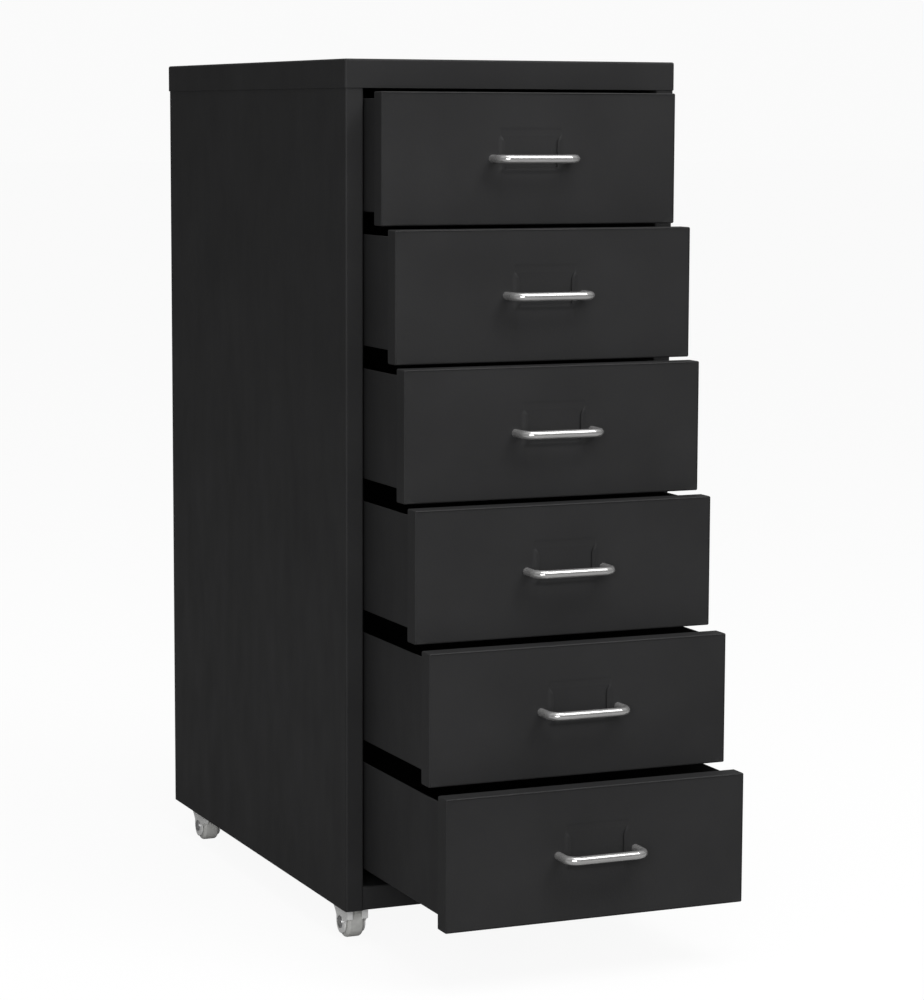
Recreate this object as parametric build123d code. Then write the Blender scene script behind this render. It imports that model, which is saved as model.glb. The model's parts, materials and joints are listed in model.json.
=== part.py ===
from build123d import *
import os

# Rolling pedestal cabinet: six folded-steel drawers in a folded-steel carcass on four casters.
# Millimetres. The drawers open towards -Y, +X is the right-hand side as seen from the front and
# +Z is up. The origin is on the floor, under the middle of the carcass.

# --- Carcass ----------------------------------------------------------------------------------
WIDTH = 280.0           # across the top cover
DEPTH = 435.0           # across the top cover, front to back
HEIGHT = 690.0          # floor to the upper face of the top cover
SHEET = 0.6             # carcass sheet thickness
BEND = 1.5              # centre-line radius of a fold
COVER_SKIRT = 22.0      # height of the top cover's skirt
COVER_FIT = 0.1         # gap between the skirt and the panels it slips over
RAIL_HEIGHT = 19.0      # front rail of the base pan
JAMB_WIDTH = 15.0       # folded strip either side of the drawer opening
JAMB_RETURN = 12.0      # second fold of that strip, going back into the carcass
REAR_FLANGE = 15.0      # flange behind which the back panel is screwed
TOP_FLANGE = 12.0       # flange that the top cover rests on
RAIL_LIP = 10.0         # stiffening lip under the front rail
RAIL_GAP = 0.2          # front rail to the jamb returns
PAN_SIDE = 17.0         # depth of the base pan's side flanges

# --- Drawers ----------------------------------------------------------------------------------
DRAWERS = 6
FRONT_GAP = 3.3         # above, between and below the drawer fronts
FRONT_SIDE_GAP = 2.0    # drawer front to jamb
FRONT_SHEET = 0.6
FRONT_RETURN = 14.0     # depth of the folded edge round a drawer front
FRONT_ROUND = 1.4       # outer radius of that fold
TRAY_SHEET = 0.5
TRAY_FIT = 0.1          # tray to the inside of the front's folded edge
TRAY_ROUND = 1.2        # outer radius of the tray's bottom folds
TRAY_DROP = 4.5         # top of the front to the top of the tray
TRAY_RISE = 9.5         # bottom of the front to the bottom of the tray
TRAY_REAR_GAP = 8.0     # closed tray to the rear flanges
HEM = 7.0               # folded-over strip along the tray's upper edge
TRAVEL = 300.0          # closed to the stop
STOP_GAP = 0.3          # stop tab to the stop at either end of the travel
OPEN_AT_REST = [34.0, 62.0, 80.0, 102.0, 130.0, 162.0]   # top drawer first

# --- Runners and the drawer's stop tabs -----------------------------------------------------
RUNNER_SHEET = 0.8
RUNNER_SIDE_GAP = 0.6   # tray to guide wall
RUNNER_DROP = 0.3       # tray to ledge
LEDGE = 13.0            # how far the ledge reaches under the tray
GUIDE_HEIGHT = 10.0     # ledge to shelf
CHANNEL = 15.0          # shelf to the hold-down flange
HOLD_DOWN = 12.0        # width of the hold-down flange
RUNNER_START = 2.0      # runner to the closed front's folded edge
TAB_GAP = 0.5           # stop tab to shelf, flange and panel
TAB_REACH = 8.0
TAB_SHEET = 1.0
TAB_INSET = 12.0        # tray's rear wall to its stop tab
STOP_HEIGHT = 8.0

# --- Handle and label frame -----------------------------------------------------------------
ROD = 6.5
HANDLE_LEGS = 64.0      # leg spacing, centre to centre
HANDLE_REACH = 20.0     # drawer front to the centre of the bar
HANDLE_BEND = 8.5
SCREW_M4 = 4.0
SCREW_HEAD = 8.0
SCREW_HEAD_HEIGHT = 2.4
SCREW_GRIP = 9.0        # screw's length inside the handle's leg
LABEL_WIDTH = 56.0
LABEL_HEIGHT = 36.0
LABEL_BELOW = 26.0      # top of the front to the top of the label frame
LABEL_PROUD = 1.4
LABEL_SHEET = 0.5
LABEL_BORDER = 1.6      # wall round the pocket
LABEL_LIP = 7.0         # side lips that hold the label
LABEL_FOOT = 6.0        # bottom lip

# --- Sheet-metal screws at the back ---------------------------------------------------------
BACK_SCREW = 3.9
BACK_SCREW_HEAD = 7.5
BACK_SCREW_HEAD_HEIGHT = 2.2
BACK_SCREW_LENGTH = 8.0
BACK_SCREW_ROWS = 4     # up each side, between the base screw and the cover screw
HOLE_GAP = 0.15         # hole to screw, all round

# --- Casters --------------------------------------------------------------------------------
CASTER_SIDE = 16.5      # swivel axis to the cover's side
CASTER_END = 39.0       # swivel axis to the cover's front or back
TRAIL = 8.5             # swivel axis to wheel axis
WHEEL = 25.0
TREAD = 13.5            # wheel's width
TREAD_ROUND = 2.5
WHEEL_DISH = 1.5
HUB = 11.0
WHEEL_GAP = 0.6         # wheel to fork plate
FORK_SHEET = 1.6
FORK_EYE = 9.0          # radius of a fork plate round the axle
FORK_REAR = 11.0        # crown behind the swivel axis
FORK_FLARE = 10.0       # curve from a plate's rear edge to the crown
FORK_CORNER = 1.5       # outer corners, seen from above
LIP = 5.0               # fold at a plate's front edge, turned in before the tread
LIP_RISE = 4.5          # lower end of that fold above the wheel axis
LIP_FLARE = 3.0
CROWN_ROOM = 0.9        # wheel to crown
CROWN_CLEAR = 0.5       # crown to the carcass's lower edge, which it turns under
AXLE = 4.0
AXLE_HEAD = 10.0
AXLE_HEAD_HEIGHT = 1.0
AXLE_DISH = 7.6         # hollow in the head
STEM = 8.0
STEM_FLANGE = 20.0
STEM_FLANGE_HEIGHT = 2.0
STEM_COLLAR = 13.0
RACE_HEIGHT = 4.0       # seat over the crown, as wide as the flange
STEM_TIP = 2.5          # stem above the nut
JOURNAL = 6.0
RIVET = 8.0
RIVET_HEIGHT = 1.2
SWIVEL_GAP = 0.2        # crown to the flange above and the rivet below
RUN_GAP = 0.05          # radial clearance of the journal and the wheel
NUT_FLATS = 13.0
NUT_HEIGHT = 5.0

# --- Worked-out places ----------------------------------------------------------------------
PANEL_X = WIDTH / 2 - SHEET - COVER_FIT          # outer face of a side panel
INNER_X = PANEL_X - SHEET
FACE_Y = -(DEPTH / 2 - SHEET - COVER_FIT)        # outer face of the jambs and of closed fronts
REAR_Y = -FACE_Y                                 # outer face of the back panel
FLANGE_Y = REAR_Y - SHEET                        # outer face of the rear flanges
COVER_UNDER = HEIGHT - SHEET
CROWN_UNDER = WHEEL + CROWN_ROOM
CROWN_TOP = CROWN_UNDER + FORK_SHEET
GROUND_GAP = CROWN_TOP + CROWN_CLEAR             # floor to the lower edge of the carcass
BASE_TOP = GROUND_GAP + RAIL_HEIGHT
PAN_UNDER = BASE_TOP - SHEET
OPENING = WIDTH / 2 - JAMB_WIDTH                 # half the width between the jambs
FRONT_HALF = OPENING - FRONT_SIDE_GAP
FRONT_SPACE = HEIGHT - COVER_SKIRT - BASE_TOP
FRONT_HEIGHT = (FRONT_SPACE - (DRAWERS + 1) * FRONT_GAP) / DRAWERS
PITCH = FRONT_HEIGHT + FRONT_GAP
TRAY_HALF = FRONT_HALF - FRONT_SHEET - TRAY_FIT
TRAY_FRONT = FACE_Y + FRONT_SHEET
TRAY_REAR = FLANGE_Y - SHEET - TRAY_REAR_GAP
TRAY_HEIGHT = FRONT_HEIGHT - TRAY_DROP - TRAY_RISE
RUNNER_FRONT = FACE_Y + FRONT_RETURN + RUNNER_START
TAB_Y = TRAY_REAR - TAB_INSET
GUIDE_X = TRAY_HALF + RUNNER_SIDE_GAP            # inner face of the guide wall
STEM_UNDER = CROWN_TOP + SWIVEL_GAP
RIVET_TOP = CROWN_UNDER - SWIVEL_GAP
SCREW_X = PANEL_X - REAR_FLANGE / 2
CASTER_X = WIDTH / 2 - CASTER_SIDE
CASTER_Y = DEPTH / 2 - CASTER_END
CORNERS = {
    "front_left": (-CASTER_X, -CASTER_Y),
    "front_right": (CASTER_X, -CASTER_Y),
    "rear_left": (-CASTER_X, CASTER_Y),
    "rear_right": (CASTER_X, CASTER_Y),
}


def front_top(i):
    """Height of the upper edge of drawer i's front, i = 0 at the top."""
    return HEIGHT - COVER_SKIRT - FRONT_GAP - i * PITCH


def handle_height(i):
    """The handle sits halfway up the front."""
    return front_top(i) - FRONT_HEIGHT / 2


def tray_bottom(i):
    return front_top(i) - FRONT_HEIGHT + TRAY_RISE


def slab(x0, x1, y0, y1, z0, z1):
    """A block given by its faces."""
    size = Box(x1 - x0, y1 - y0, z1 - z0)
    return Pos((x0 + x1) / 2, (y0 + y1) / 2, (z0 + z1) / 2) * size


def rod_between(start, end, diameter):
    """A round bar from one point to another."""
    axis = Vector(*end) - Vector(*start)
    return Plane(origin=start, z_dir=axis) * Cylinder(
        diameter / 2, axis.length, align=(Align.CENTER, Align.CENTER, Align.MIN)
    )


def folded(points, thickness, bend):
    """Section of a folded sheet whose middle line runs through the points."""
    return trace(FilletPolyline(*points, radius=bend), line_width=thickness)


def one(shape):
    """The shape as a single solid."""
    return shape.solids()[0]


# --- Carcass pieces -------------------------------------------------------------------------
def screw_rows():
    """Heights of the screws in the back panel, base screw first, cover screw last."""
    low = GROUND_GAP + RAIL_HEIGHT / 2
    high = HEIGHT - COVER_SKIRT / 2
    step = (high - low) / (BACK_SCREW_ROWS + 1)
    return [low + k * step for k in range(BACK_SCREW_ROWS + 2)]


def screw_holes(rows):
    """Bars that cut the holes for the screws in the back, at the given heights."""
    bore = BACK_SCREW + 2 * HOLE_GAP
    return [
        rod_between((side * SCREW_X, REAR_Y - 20, z), (side * SCREW_X, REAR_Y + 10, z), bore)
        for side in (-1, 1)
        for z in rows
    ]


def right_side_panel():
    half = SHEET / 2
    section = folded(
        [
            (OPENING + half, FACE_Y + JAMB_RETURN),
            (OPENING + half, FACE_Y + half),
            (PANEL_X - half, FACE_Y + half),
            (PANEL_X - half, FLANGE_Y - half),
            (PANEL_X - REAR_FLANGE, FLANGE_Y - half),
        ],
        SHEET,
        BEND,
    )
    sheet = Pos(0, 0, GROUND_GAP) * extrude(section, COVER_UNDER - GROUND_GAP)
    jamb_back = FACE_Y + JAMB_RETURN
    flange = slab(
        PANEL_X - TOP_FLANGE, PANEL_X - half, jamb_back, FLANGE_Y - half, COVER_UNDER - SHEET, COVER_UNDER
    )
    return one(sheet + flange - screw_holes(screw_rows()))


def back_panel():
    half = PANEL_X - BEND
    sheet = slab(-half, half, FLANGE_Y, REAR_Y, GROUND_GAP, COVER_UNDER)
    return one(sheet - screw_holes(screw_rows()))


def top_cover():
    outer = slab(-WIDTH / 2, WIDTH / 2, -DEPTH / 2, DEPTH / 2, HEIGHT - COVER_SKIRT, HEIGHT)
    outer = fillet(outer.edges().filter_by(Axis.Z), BEND + SHEET / 2)
    outer = fillet(outer.faces().sort_by(Axis.Z)[-1].edges(), BEND)
    half_x = WIDTH / 2 - SHEET
    half_y = DEPTH / 2 - SHEET
    inner = slab(-half_x, half_x, -half_y, half_y, HEIGHT - COVER_SKIRT - SHEET, COVER_UNDER)
    inner = fillet(inner.edges().filter_by(Axis.Z), BEND - SHEET / 2)
    return one(outer - inner - screw_holes(screw_rows()[-1:]))


def base_pan():
    half = SHEET / 2
    section = folded(
        [
            (FACE_Y + RAIL_LIP, GROUND_GAP + half),
            (FACE_Y + half, GROUND_GAP + half),
            (FACE_Y + half, BASE_TOP - half),
            (FACE_Y + JAMB_RETURN + 2 * RAIL_GAP, BASE_TOP - half),
        ],
        SHEET,
        BEND,
    )
    reach = OPENING - RAIL_GAP
    rail = Pos(-reach, 0, 0) * extrude(Plane.YZ * section, 2 * reach)
    front = FACE_Y + JAMB_RETURN + RAIL_GAP
    rear = FLANGE_Y - SHEET
    plate = slab(-INNER_X, INNER_X, front, rear, PAN_UNDER, BASE_TOP)
    low = BASE_TOP - PAN_SIDE
    sides = [
        slab(INNER_X - SHEET, INNER_X, front, rear, low, BASE_TOP),
        slab(-INNER_X, SHEET - INNER_X, front, rear, low, BASE_TOP),
    ]
    rear_flange = slab(-INNER_X, INNER_X, rear - SHEET, rear, low, BASE_TOP)
    reliefs = [
        slab(x - BEND, x + BEND, rear - BEND, rear + BEND, GROUND_GAP, HEIGHT) for x in (-INNER_X, INNER_X)
    ]
    bore = STEM + 2 * HOLE_GAP
    holes = [rod_between((x, y, GROUND_GAP), (x, y, HEIGHT), bore) for x, y in CORNERS.values()]
    pan = rail + plate + sides + rear_flange
    return one(pan - reliefs - holes - screw_holes(screw_rows()[:1]))


def runner(i):
    """Right-hand runner of drawer i: ledge, guide wall, shelf, web and hold-down flange."""
    half = RUNNER_SHEET / 2
    ledge_z = tray_bottom(i) - RUNNER_DROP - half
    shelf_z = ledge_z + GUIDE_HEIGHT
    flange_z = shelf_z + CHANNEL + RUNNER_SHEET
    web_x = INNER_X - half
    section = folded(
        [
            (TRAY_HALF - LEDGE, ledge_z),
            (GUIDE_X + half, ledge_z),
            (GUIDE_X + half, shelf_z),
            (web_x, shelf_z),
            (web_x, flange_z),
            (INNER_X - HOLD_DOWN, flange_z),
        ],
        RUNNER_SHEET,
        RUNNER_SHEET,
    )
    length = TRAY_REAR - RUNNER_FRONT
    rail = Pos(0, TRAY_REAR, 0) * extrude(Plane.XZ * section, length)
    stop_y = TAB_Y - TRAVEL - TAB_SHEET - STOP_GAP
    tab_mid = TRAY_HALF + TAB_REACH / 2 + TAB_SHEET
    stop = slab(tab_mid, web_x, stop_y - RUNNER_SHEET, stop_y, shelf_z, shelf_z + STOP_HEIGHT)
    buffer_y = TRAY_REAR + STOP_GAP
    buffer = slab(
        TRAY_HALF - LEDGE, GUIDE_X, buffer_y, buffer_y + RUNNER_SHEET, ledge_z - half, ledge_z + STOP_HEIGHT
    )
    tail = slab(
        TRAY_HALF - LEDGE, GUIDE_X, TRAY_REAR - half, buffer_y + RUNNER_SHEET, ledge_z - half, ledge_z + half
    )
    return one(rail + stop + buffer + tail)


def back_screws():
    """Pan-head sheet-metal screws through the back, and through the cover's skirt at the top."""
    screws = []
    rows = screw_rows()
    for side in (-1, 1):
        for z in rows:
            seat = DEPTH / 2 if z == rows[-1] else REAR_Y
            x = side * SCREW_X
            head = rod_between((x, seat, z), (x, seat + BACK_SCREW_HEAD_HEIGHT, z), BACK_SCREW_HEAD)
            head = fillet(head.edges().sort_by(Axis.Y)[-1], BACK_SCREW_HEAD_HEIGHT / 2)
            shank = rod_between((x, seat - BACK_SCREW_LENGTH, z), (x, seat, z), BACK_SCREW)
            screws.append(one(head + shank))
    return Compound(screws)


# --- Drawer pieces, closed ------------------------------------------------------------------
def drawer_front(i):
    top = front_top(i)
    bottom = top - FRONT_HEIGHT
    back = FACE_Y + FRONT_RETURN
    outer = slab(-FRONT_HALF, FRONT_HALF, FACE_Y, back, bottom, top)
    outer = fillet(outer.faces().sort_by(Axis.Y)[0].edges(), FRONT_ROUND)
    t = FRONT_SHEET
    inner = slab(t - FRONT_HALF, FRONT_HALF - t, FACE_Y + t, back + t, bottom + t, top - t)
    inner = fillet(inner.faces().sort_by(Axis.Y)[0].edges(), FRONT_ROUND - t)
    shell = outer - inner + label_frame(top - LABEL_BELOW)
    return one(shell - handle_holes(i, SCREW_M4 + 2 * HOLE_GAP))


def label_frame(top):
    """Pressed-out frame, open at the top, whose lips hold a label card."""
    left, right = -LABEL_WIDTH / 2, LABEL_WIDTH / 2
    bottom = top - LABEL_HEIGHT
    proud = FACE_Y - LABEL_PROUD
    body = slab(left, right, proud, FACE_Y + FRONT_SHEET / 2, bottom, top)
    body = chamfer(body.faces().sort_by(Axis.Y)[0].edges(), LABEL_SHEET)
    edge = LABEL_BORDER
    pocket = slab(left + edge, right - edge, proud + LABEL_SHEET, FACE_Y, bottom + edge, top + edge)
    window = slab(left + LABEL_LIP, right - LABEL_LIP, proud - edge, FACE_Y, bottom + LABEL_FOOT, top + edge)
    return body - pocket - window


def handle_holes(i, bore):
    z = handle_height(i)
    half = HANDLE_LEGS / 2
    return [rod_between((x, FACE_Y - 1, z), (x, TRAY_FRONT + 2, z), bore) for x in (-half, half)]


def drawer_tray(i):
    bottom = tray_bottom(i)
    top = bottom + TRAY_HEIGHT
    t = TRAY_SHEET
    outer = slab(-TRAY_HALF, TRAY_HALF, TRAY_FRONT, TRAY_REAR, bottom, top)
    outer = fillet(outer.edges() - outer.faces().sort_by(Axis.Z)[-1].edges(), TRAY_ROUND)
    inner = slab(t - TRAY_HALF, TRAY_HALF - t, TRAY_FRONT + t, TRAY_REAR - t, bottom + t, top + t)
    inner = fillet(inner.edges() - inner.faces().sort_by(Axis.Z)[-1].edges(), TRAY_ROUND - t)
    tray = outer - inner
    for side in (-1, 1):
        wall = side * (TRAY_HALF - t)
        near, far = sorted((wall, wall - side * t))
        tray += slab(near, far, TRAY_FRONT + t, TRAY_REAR - t, top - HEM, top)
        near, far = sorted((side * (TRAY_HALF - t / 2), side * (TRAY_HALF + TAB_REACH)))
        shelf = bottom - RUNNER_DROP + GUIDE_HEIGHT
        tray += slab(near, far, TAB_Y - TAB_SHEET, TAB_Y, shelf + TAB_GAP, shelf + CHANNEL - TAB_GAP)
    tray += slab(t - TRAY_HALF, TRAY_HALF - t, TRAY_REAR - 2 * t, TRAY_REAR - t, top - HEM, top)
    return one(tray - handle_holes(i, SCREW_M4 + 2 * HOLE_GAP))


def drawer_handle(i):
    z = handle_height(i)
    half = HANDLE_LEGS / 2
    bar = FACE_Y - HANDLE_REACH
    path = FilletPolyline(
        (-half, FACE_Y, z), (-half, bar, z), (half, bar, z), (half, FACE_Y, z), radius=HANDLE_BEND
    )
    rod = sweep(Plane(origin=(-half, FACE_Y, z), z_dir=(0, -1, 0)) * Circle(ROD / 2), path)
    bore = SCREW_M4 + 2 * RUN_GAP
    taps = [
        rod_between((x, FACE_Y - SCREW_GRIP - 1, z), (x, FACE_Y + 1, z), bore) for x in (-half, half)
    ]
    return one(rod - taps)


def drawer_screws(i):
    """Two pan-head screws from inside the tray into the handle's legs."""
    z = handle_height(i)
    seat = TRAY_FRONT + TRAY_SHEET
    screws = []
    for x in (-HANDLE_LEGS / 2, HANDLE_LEGS / 2):
        head = rod_between((x, seat, z), (x, seat + SCREW_HEAD_HEIGHT, z), SCREW_HEAD)
        head = fillet(head.edges().sort_by(Axis.Y)[-1], SCREW_HEAD_HEIGHT / 2)
        shank = rod_between((x, FACE_Y - SCREW_GRIP, z), (x, seat, z), SCREW_M4)
        screws.append(one(head + shank))
    return Compound(screws)


# --- Caster pieces, for a swivel axis at x = y = 0 ------------------------------------------
AXLE_Z = WHEEL / 2
PLATE_IN = TREAD / 2 + WHEEL_GAP
PLATE_OUT = PLATE_IN + FORK_SHEET
FORK_FRONT = -TRAIL - WHEEL / 2 - WHEEL_GAP - FORK_SHEET
LIP_LOW = AXLE_Z + LIP_RISE


def caster_stem():
    """Threaded stem, seating flange, swivel journal and riveted end, in one turned piece."""
    tip = BASE_TOP + NUT_HEIGHT + STEM_TIP
    stem = rod_between((0, 0, PAN_UNDER), (0, 0, tip), STEM)
    collar = rod_between((0, 0, STEM_UNDER), (0, 0, PAN_UNDER), STEM_COLLAR)
    flange = rod_between((0, 0, PAN_UNDER - STEM_FLANGE_HEIGHT), (0, 0, PAN_UNDER), STEM_FLANGE)
    race = rod_between((0, 0, STEM_UNDER), (0, 0, STEM_UNDER + RACE_HEIGHT), STEM_FLANGE)
    journal = rod_between((0, 0, RIVET_TOP), (0, 0, STEM_UNDER), JOURNAL)
    rivet = rod_between((0, 0, RIVET_TOP - RIVET_HEIGHT), (0, 0, RIVET_TOP), RIVET)
    rivet = fillet(rivet.edges().sort_by(Axis.Z)[0], RIVET_HEIGHT / 2)
    return one(stem + collar + flange + race + journal + rivet)


def flare(y, z, radius, side):
    """Concave quarter between an upright edge at y and an underside at z."""
    block = Pos(y + side * radius / 2, z - radius / 2) * Rectangle(radius, radius)
    return block - Pos(y + side * radius, z - radius) * Circle(radius)


def fork_plate():
    """Side plate's outline: the eye round the axle, widening up to the crown and the front lip."""
    front, rear = -TRAIL - FORK_EYE, -TRAIL + FORK_EYE
    outline = Pos(-TRAIL, AXLE_Z) * Circle(FORK_EYE)
    for start, end, low in (
        (front, rear, AXLE_Z),
        (FORK_FRONT, rear, LIP_LOW),
        (FORK_FRONT, FORK_REAR, CROWN_UNDER),
    ):
        outline += Pos((start + end) / 2, (low + CROWN_TOP) / 2) * Rectangle(end - start, CROWN_TOP - low)
    return outline + flare(rear, CROWN_UNDER, FORK_FLARE, 1) + flare(front, LIP_LOW, LIP_FLARE, -1)


def caster_fork():
    """Crown with a bore for the journal, and two plates whose front edges turn in as lips."""
    fork = slab(-PLATE_OUT, PLATE_OUT, FORK_FRONT, FORK_REAR, CROWN_UNDER, CROWN_TOP)
    outline = fork_plate()
    for x in (PLATE_IN, -PLATE_OUT):
        fork += Pos(x, 0, 0) * extrude(Plane.YZ * outline, FORK_SHEET)
    for x in (PLATE_OUT - LIP, -PLATE_OUT):
        fork += slab(x, x + LIP, FORK_FRONT, FORK_FRONT + FORK_SHEET, LIP_LOW, CROWN_TOP)
    plan = RectangleRounded(2 * PLATE_OUT, FORK_REAR - FORK_FRONT, FORK_CORNER)
    fork &= extrude(Pos(0, (FORK_FRONT + FORK_REAR) / 2, 0) * plan, CROWN_TOP)
    bore = rod_between((0, 0, RIVET_TOP), (0, 0, STEM_UNDER), JOURNAL + 2 * RUN_GAP)
    eyes = rod_between((-WHEEL, -TRAIL, AXLE_Z), (WHEEL, -TRAIL, AXLE_Z), AXLE + 2 * RUN_GAP)
    return one(fork - bore - eyes)


def caster_wheel():
    half = TREAD / 2
    wheel = rod_between((-half, -TRAIL, AXLE_Z), (half, -TRAIL, AXLE_Z), WHEEL)
    wheel = fillet(wheel.edges().filter_by(GeomType.CIRCLE), TREAD_ROUND)
    rim = WHEEL - 4 * TREAD_ROUND
    for side in (-1, 1):
        start = (side * half, -TRAIL, AXLE_Z)
        end = (side * (half - WHEEL_DISH), -TRAIL, AXLE_Z)
        wheel -= rod_between(start, end, rim) - rod_between(start, end, HUB)
    bore = rod_between((-half, -TRAIL, AXLE_Z), (half, -TRAIL, AXLE_Z), AXLE + 2 * RUN_GAP)
    return one(wheel - bore)


def caster_axle():
    """Pin with a dished head against each fork plate."""
    reach = PLATE_OUT + AXLE_HEAD_HEIGHT
    axle = rod_between((-PLATE_OUT, -TRAIL, AXLE_Z), (PLATE_OUT, -TRAIL, AXLE_Z), AXLE)
    for side in (-1, 1):
        start = (side * PLATE_OUT, -TRAIL, AXLE_Z)
        end = (side * reach, -TRAIL, AXLE_Z)
        mid = (side * (PLATE_OUT + AXLE_HEAD_HEIGHT / 4), -TRAIL, AXLE_Z)
        axle += rod_between(start, end, AXLE_HEAD) - rod_between(mid, end, AXLE_DISH)
    return one(axle)


def caster_nuts():
    """Hexagon nuts that clamp the stems to the base pan."""
    flats = extrude(RegularPolygon(NUT_FLATS / 2, 6, major_radius=False), NUT_HEIGHT)
    nut = one(flats - Cylinder(STEM / 2 + RUN_GAP, 4 * NUT_HEIGHT))
    return Compound([Pos(x, y, BASE_TOP) * nut for x, y in CORNERS.values()])


# --- The cabinet ----------------------------------------------------------------------------
def cabinet():
    """Every node's solids in place, by node name."""
    panel = right_side_panel()
    nodes = {
        "right_side_panel": panel,
        "left_side_panel": mirror(panel, Plane.YZ),
        "back_panel": back_panel(),
        "top_cover": top_cover(),
        "base_pan": base_pan(),
        "back_screws": back_screws(),
        "caster_nuts": caster_nuts(),
    }
    for i, opened in enumerate(OPEN_AT_REST[:DRAWERS]):
        rail = runner(i)
        nodes[f"runner_{i + 1}_right"] = rail
        nodes[f"runner_{i + 1}_left"] = mirror(rail, Plane.YZ)
        out = Pos(0, -opened, 0)
        nodes[f"drawer_{i + 1}_front"] = out * drawer_front(i)
        nodes[f"drawer_{i + 1}_tray"] = out * drawer_tray(i)
        nodes[f"drawer_{i + 1}_handle"] = out * drawer_handle(i)
        nodes[f"drawer_{i + 1}_screws"] = out * drawer_screws(i)
    for corner, (x, y) in CORNERS.items():
        place = Pos(x, y, 0)
        nodes[f"caster_{corner}_stem"] = place * caster_stem()
        nodes[f"caster_{corner}_fork"] = place * caster_fork()
        nodes[f"caster_{corner}_wheel"] = place * caster_wheel()
        nodes[f"caster_{corner}_axle"] = place * caster_axle()
    return nodes


os.makedirs("parts", exist_ok=True)
for name, shape in cabinet().items():
    export_step(shape, f"parts/{name}.step")
    print(f"{name:32s} {shape.volume:12.1f} mm3")
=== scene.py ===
# %% [markdown]
# # A rolling pedestal cabinet
# The cabinet is folded steel sheet under a charcoal powder coat: a carcass, six shallow drawers and four casters.
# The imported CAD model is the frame. It says where every part is, so each piece below takes its place from it.
# The visible parts are then made again with the fine shapes that the eye reads on a real cabinet: soft folds,
# hemmed edges, pressed label holders, bent wire and turned wheels.

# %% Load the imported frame
import json
import math

import bmesh
import bpy
from mathutils import Matrix, Vector


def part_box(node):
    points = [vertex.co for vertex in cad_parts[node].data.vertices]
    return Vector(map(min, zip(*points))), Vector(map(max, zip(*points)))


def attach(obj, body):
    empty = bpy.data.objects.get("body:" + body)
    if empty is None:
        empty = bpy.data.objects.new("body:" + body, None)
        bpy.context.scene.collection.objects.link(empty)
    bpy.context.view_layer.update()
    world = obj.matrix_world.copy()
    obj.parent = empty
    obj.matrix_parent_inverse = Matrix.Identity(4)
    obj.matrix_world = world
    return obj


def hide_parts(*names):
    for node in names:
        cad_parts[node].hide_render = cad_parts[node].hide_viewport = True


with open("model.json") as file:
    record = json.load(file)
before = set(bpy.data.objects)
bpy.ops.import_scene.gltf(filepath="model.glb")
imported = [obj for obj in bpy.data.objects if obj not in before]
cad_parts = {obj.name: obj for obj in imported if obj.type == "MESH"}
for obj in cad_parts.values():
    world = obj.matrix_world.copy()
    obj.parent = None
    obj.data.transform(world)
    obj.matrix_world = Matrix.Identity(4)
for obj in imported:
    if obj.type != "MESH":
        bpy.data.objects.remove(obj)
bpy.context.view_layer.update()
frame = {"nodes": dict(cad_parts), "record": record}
MM = 0.001
DRAWERS = [f"drawer_{k}" for k in range(1, 7)]
CASTERS = [f"caster_{end}_{side}" for end in ("front", "rear") for side in ("left", "right")]

# %% [markdown]
# ## Materials
# Powder coat is plastic melted onto steel. It is nearly black here, with a satin sheen, a faint orange peel about
# two millimetres across and a much finer grit on top. An image could carry that, but noise in object
# coordinates has no seams and keeps its scale on every part, so each finish is built from a few noise nodes.

# %% Small helpers for shader nodes
def new_finish(name, metallic=0.0, **fixed):
    """A material with its Principled shader, and the object coordinates that its patterns read."""
    finish = bpy.data.materials.new(name)
    finish.use_nodes = True
    tree = finish.node_tree
    surface = tree.nodes["Principled BSDF"]
    surface.inputs["Metallic"].default_value = metallic
    for socket, value in fixed.items():
        surface.inputs[socket.replace("_", " ")].default_value = value
    place = tree.nodes.new("ShaderNodeTexCoord").outputs["Object"]
    return finish, tree, surface, place


def noise(tree, place, scale, detail, stretch=(1, 1, 1)):
    """Noise with about `scale` lumps per metre, drawn out along an axis whose stretch is under 1."""
    turn = tree.nodes.new("ShaderNodeMapping")
    turn.inputs["Scale"].default_value = stretch
    tree.links.new(place, turn.inputs["Vector"])
    grain = tree.nodes.new("ShaderNodeTexNoise")
    grain.inputs["Scale"].default_value = scale
    grain.inputs["Detail"].default_value = detail
    tree.links.new(turn.outputs["Vector"], grain.inputs["Vector"])
    return grain.outputs["Fac"]


def spread(tree, value, low, high, start=0.3, end=0.7):
    """Carries a noise value from start..end over to low..high."""
    span = tree.nodes.new("ShaderNodeMapRange")
    for socket, number in (("From Min", start), ("From Max", end), ("To Min", low), ("To Max", high)):
        span.inputs[socket].default_value = number
    tree.links.new(value, span.inputs["Value"])
    return span.outputs["Result"]


def tint(tree, value, dark, light):
    """A colour between dark and light."""
    mix = tree.nodes.new("ShaderNodeMix")
    mix.data_type = "RGBA"
    mix.inputs["A"].default_value = (*dark, 1)
    mix.inputs["B"].default_value = (*light, 1)
    tree.links.new(value, mix.inputs["Factor"])
    return mix.outputs["Result"]


def bump(tree, height, depth, under=None):
    """A bump of about `depth` metres, laid over another one if given."""
    relief = tree.nodes.new("ShaderNodeBump")
    relief.inputs["Distance"].default_value = depth
    tree.links.new(height, relief.inputs["Height"])
    if under:
        tree.links.new(under, relief.inputs["Normal"])
    return relief.outputs["Normal"]
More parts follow.
